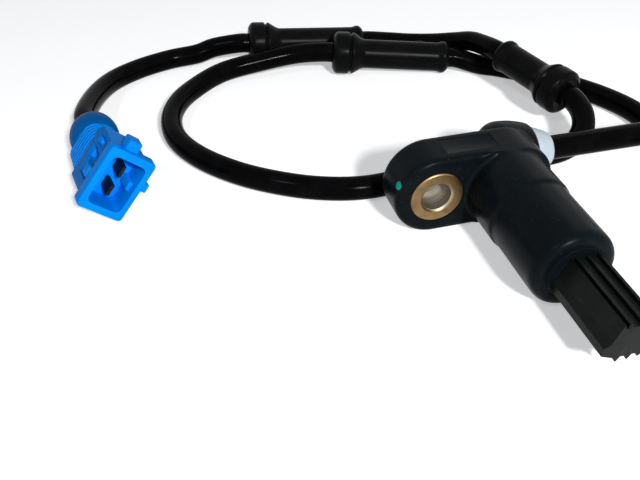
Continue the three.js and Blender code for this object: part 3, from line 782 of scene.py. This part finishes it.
class SENSOR_OT_cable(bpy.types.Operator):
    """Add the cable with its three grommets"""

    bl_idname = "sensor.cable"
    bl_label = "Cable and grommets"

    def execute(self, context):
        rubber = moulded("rubber_black", (0.0028, 0.003, 0.0033), (0.005, 0.005, 0.0054), 0.26,
                         specular=0.028)
        for number, (start, end) in enumerate(GROMMETS, 1):
            turn = Vector((0, 1, 0)).rotation_difference((end - start).normalized()).to_matrix().to_4x4()
            skin = turned(grommet_profile((end - start).length), 64)
            finished(holder(f"grommet_skin_{number}", skin), rubber, f"grommet_{number}",
                     angle=35, matrix=Matrix.Translation(start) @ turn)
        line = [TO_ROW @ p for p in smooth_route(ROUTE)]
        curve = bpy.data.curves.new("cable", "CURVE")
        curve.dimensions = "3D"
        spline = curve.splines.new("POLY")
        spline.points.add(len(line) - 1)
        for point, spot in zip(spline.points, line):
            point.co = (*spot, 1)
        curve.bevel_depth = CABLE_R * MM
        curve.bevel_resolution = sizes().cable_sides
        curve.use_fill_caps = True
        cable = bpy.data.objects.new("cable", curve)
        context.scene.collection.objects.link(cable)
        tint = tuple(colours().cable)
        finish = Finish("cable_black", tint, 0.2, specular=0.018)
        smear = finish.noise(scale=240.0, detail=3.0)
        finish.set("Base Color", mix(finish.tree, smear.step(0.4, 0.8), tint, times(tint, 2.2)))
        finish.set("Roughness", smear * 0.12 + 0.08)
        finish.bump(finish.noise(scale=2600.0, detail=2.0), 0.00002, strength=0.25)
        curve.materials.append(finish.material)
        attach(cable, "root")
        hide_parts("sensor_cable")
        return {"FINISHED"}


def plug_dark_dome_and_painted_shade(finish, tint):
    """A darker colour on the boot's dome, and painted shade on the grip's rib tops and the body's side faces.
    """
    along, across = (finish.vector("DOT_PRODUCT", axis) for axis in (PLUG_OUT, PLUG_ACROSS))
    end = (PLUG_AT + SHIFT).dot(PLUG_OUT) * MM
    middle = (PLUG_AT + SHIFT).dot(PLUG_ACROSS) * MM
    dome = 1 - along.step(end + (GRIP_BACK - 0.5) * MM, end + (GRIP_BACK + 0.1) * MM)
    turn = ((along - (end + RIB_START * MM)) / (GRIP_PITCH * MM)).maths("FRACT")
    on_grip = (along > end + (RIB_START + 0.1) * MM) * (along < end + (BODY_BACK - 0.1) * MM)
    # painted shade: the rib tops get the darker blue, their edges keep the lighter blue
    rib_top_painted_shade = (turn < RIB_SHARE - 0.1) * on_grip
    aside = (across - middle).maths("ABSOLUTE")
    # painted shade: the body's side faces get the darker blue, as if less light fell on them
    body_side_painted_shade = (aside > (BODY_W / 2 - 0.8) * MM) * (aside < (BODY_W / 2 + 0.15) * MM)
    body_side_painted_shade = body_side_painted_shade * (along > end + BODY_BACK * MM) * (along < end - (RIM_T + 0.05) * MM)
    dark_dome_and_painted_shade = dome.maths("MAXIMUM", rib_top_painted_shade * RIB_PAINTED_SHADE + body_side_painted_shade * SIDE_PAINTED_SHADE)
    finish.tint(dark_dome_and_painted_shade, times(tint, PLUG_DARK))


def grip_ribs():
    """The grip's core and its ribs, which grow towards the open end."""
    core_w, core_r, rib_r = BODY_W - 2 * GRIP_STEP, 2.6, 3
    ribs = [pillar(core_w, RIB_FAR - 2 * GRIP_STEP, core_r, RIB_START, BODY_BACK - 0.01)]
    for i in range(GRIP_RIBS):
        height = RIB_FAR + (RIB_NEAR - RIB_FAR) * i / (GRIP_RIBS - 1)
        far = RIB_START + i * GRIP_PITCH
        ribs.append(pillar(BODY_W, height, rib_r, far, far + RIB_SHARE * GRIP_PITCH, 0.1))
        ribs.append(pillar(core_w, height - 2 * GRIP_STEP, core_r, far + 0.3, far + GRIP_PITCH))
    for bm in ribs:
        bmesh.ops.translate(bm, vec=(0, RIB_SHIFT, 0), verts=bm.verts)
    return ribs


class SENSOR_OT_plug(bpy.types.Operator):
    """Add the plug's shroud and its ribbed boot"""

    bl_idname = "sensor.plug"
    bl_label = "Plug"

    def execute(self, context):
        tint = tuple(colours().plug)
        finish = moulded("plug_blue", tint, times(tint, 1.2), 0.4, depth=0.00001, specular=0.02)
        # the darker blue on the boot's dome, and painted shade on the rib tops and the side faces
        plug_dark_dome_and_painted_shade(finish, tint)
        side = -BODY_W / 2
        # the rim with the body, the latch tab and the side lug
        shroud = holder("plug_shroud", pillar(RIM_W, RIM_H, 1, -RIM_T, 0, 0.45))
        combine(shroud, [
            pillar(BODY_W, BODY_H, 1.3, BODY_BACK, -RIM_T + 1),
            box(-2.4, 0.8, BODY_H / 2 - 1, RIM_H / 2 + 2.4, -5.2, -1.4, 0.35),
            box(RIM_W / 2 - 1, RIM_W / 2 + 1.4, 0.6, 2.8, -3.4, -0.7, 0.25),
        ], "UNION")
        # the socket, and on the side a panel and a round-ended pocket, each with its deeper end
        combine(shroud, [
            pillar(SOCKET_W, SOCKET_H, 1.4, SOCKET_FLOOR, 1),
            box(side - 1, side + 0.75, -3.8, 3.2, -10.2, -RIM_T - 0.01),
            box(side - 1, side + 2.4, 0.2, 3.4, -10.8, -7.8),
            box(side - 1.2, side + 0.75, 4.1, 6.5, -10, -4.6, 1.1, 5),
            box(side - 1.2, side + 2, 4.2, 6.2, -10.4, -7.8, 0.9, 5),
        ], "DIFFERENCE")
        # the catch on the panel and the key on the socket's wall
        combine(shroud, [
            box(side - 0.7, side + 1, -2.8, -0.2, -7.4, -4.6, 0.2),
            box(SOCKET_W / 2 - 0.9, SOCKET_W / 2 + 0.5, -1.1, 1.1, SOCKET_FLOOR - 0.5, -2.4, 0.15),
        ], "UNION")
        finished(shroud, finish, "connector_shroud", angle=35, matrix=PLUG_MATRIX)

        dome = softened([
            (0, DOME_BACK), (BOOT_TIP_R, DOME_BACK, 0.8), (BOOT_R - 0.7, DOME_BACK + 1.3, 0.9),
            (BOOT_R - 0.2, DOME_BACK + 3.2, 1), (BOOT_R, DOME_BACK + 5, 1), (BOOT_R - 0.1, GRIP_BACK - 2, 1),
            (BOOT_CORE_R, GRIP_BACK + 0.6), (BOOT_CORE_R, BODY_BACK), (0, BODY_BACK)], steps=5)
        boot = holder("plug_boot", turned(dome, 64, Matrix.Diagonal((BOOT_FLAT, 1, 1, 1)) @ ALONG_Z))
        combine(boot, grip_ribs(), "UNION")
        combine(boot, [rod(CABLE_BORE_R, BOOT_BACK - 1, PLUG_JACKET, 48, ALONG_Z)], "DIFFERENCE")
        finished(boot, finish, "connector_boot", angle=35, matrix=PLUG_MATRIX)
        return {"FINISHED"}


class SENSOR_OT_inner(bpy.types.Operator):
    """Give the pieces inside the head and the plug their finishes"""

    bl_idname = "sensor.inner"
    bl_label = "Inner pieces"

    def execute(self, context):
        steel = turned_metal("steel", (0.42, 0.43, 0.44), 0.35)
        # the blades' tin is near-black: partly dark metal, partly painted shade of the dark socket round them
        tin = turned_metal("tin", (0.022, 0.022, 0.024), 0.4)
        copper = turned_metal("copper", (0.60, 0.25, 0.10), 0.35)
        magnet = turned_metal("magnet_grey", (0.16, 0.16, 0.17), 0.5)
        brass = turned_metal("strip_brass", (0.52, 0.33, 0.15), 0.36)
        bobbin = moulded("bobbin_plastic", (0.04, 0.04, 0.035), (0.07, 0.07, 0.06), 0.5)
        wire = moulded("wire_brown", (0.10, 0.04, 0.015), (0.14, 0.06, 0.02), 0.5)
        for finish, nodes in (
            (steel, ["pole_pin"]), (tin, ["contact_blade_1", "contact_blade_2"]), (copper, ["coil_winding"]),
            (magnet, ["magnet"]), (brass, ["terminal_strip_1", "terminal_strip_2"]),
            (bobbin, ["coil_bobbin"]),
            (wire, ["conductor_1", "conductor_2", "plug_conductor_1", "plug_conductor_2"]),
        ):
            for node in nodes:
                for slot in bpy.data.objects[node].material_slots:
                    slot.material = finish.material
        return {"FINISHED"}


class SENSOR_OT_cord(bpy.types.Operator):
    bl_idname = "sensor.cord"
    bl_label = "Cord"

    def execute(self, context):
        line = [TO_ROW @ p for p in smooth_route(ROUTE)]
        length = sum((b - a).length for a, b in zip(line, line[1:]))
        return {"FINISHED"}


class SENSOR_PT_panel(bpy.types.Panel):
    """Lists the sensor's pieces"""

    bl_idname = "SENSOR_PT_panel"
    bl_label = "Wheel speed sensor"
    bl_space_type = "VIEW_3D"
    bl_region_type = "UI"
    bl_category = "Sensor"

    def draw(self, context):
        for group in (context.scene.sensor_sizes, context.scene.sensor_colours):
            for name in group.bl_rna.properties.keys():
                if name not in ("rna_type", "name"):
                    self.layout.prop(group, name)
        for operator in STEPS:
            self.layout.operator(operator.bl_idname)


STEPS = (
    SENSOR_OT_stage, SENSOR_OT_cable, SENSOR_OT_head, SENSOR_OT_bush, SENSOR_OT_nose, SENSOR_OT_collar,
    SENSOR_OT_plug, SENSOR_OT_inner, SENSOR_OT_cord,
)
CLASSES = (SensorSizes, SensorColours, *STEPS, SENSOR_PT_panel)


def register():
    for cls in CLASSES:
        bpy.utils.register_class(cls)
    bpy.types.Scene.sensor_sizes = PointerProperty(type=SensorSizes)
    bpy.types.Scene.sensor_colours = PointerProperty(type=SensorColours)


def unregister():
    del bpy.types.Scene.sensor_sizes
    del bpy.types.Scene.sensor_colours
    for cls in reversed(CLASSES):
        bpy.utils.unregister_class(cls)


def main():
    register()
    for operator in STEPS:
        getattr(bpy.ops.sensor, operator.bl_idname.split(".")[1])()
    bpy.context.view_layer.update()


if __name__ == "__main__":
    main()
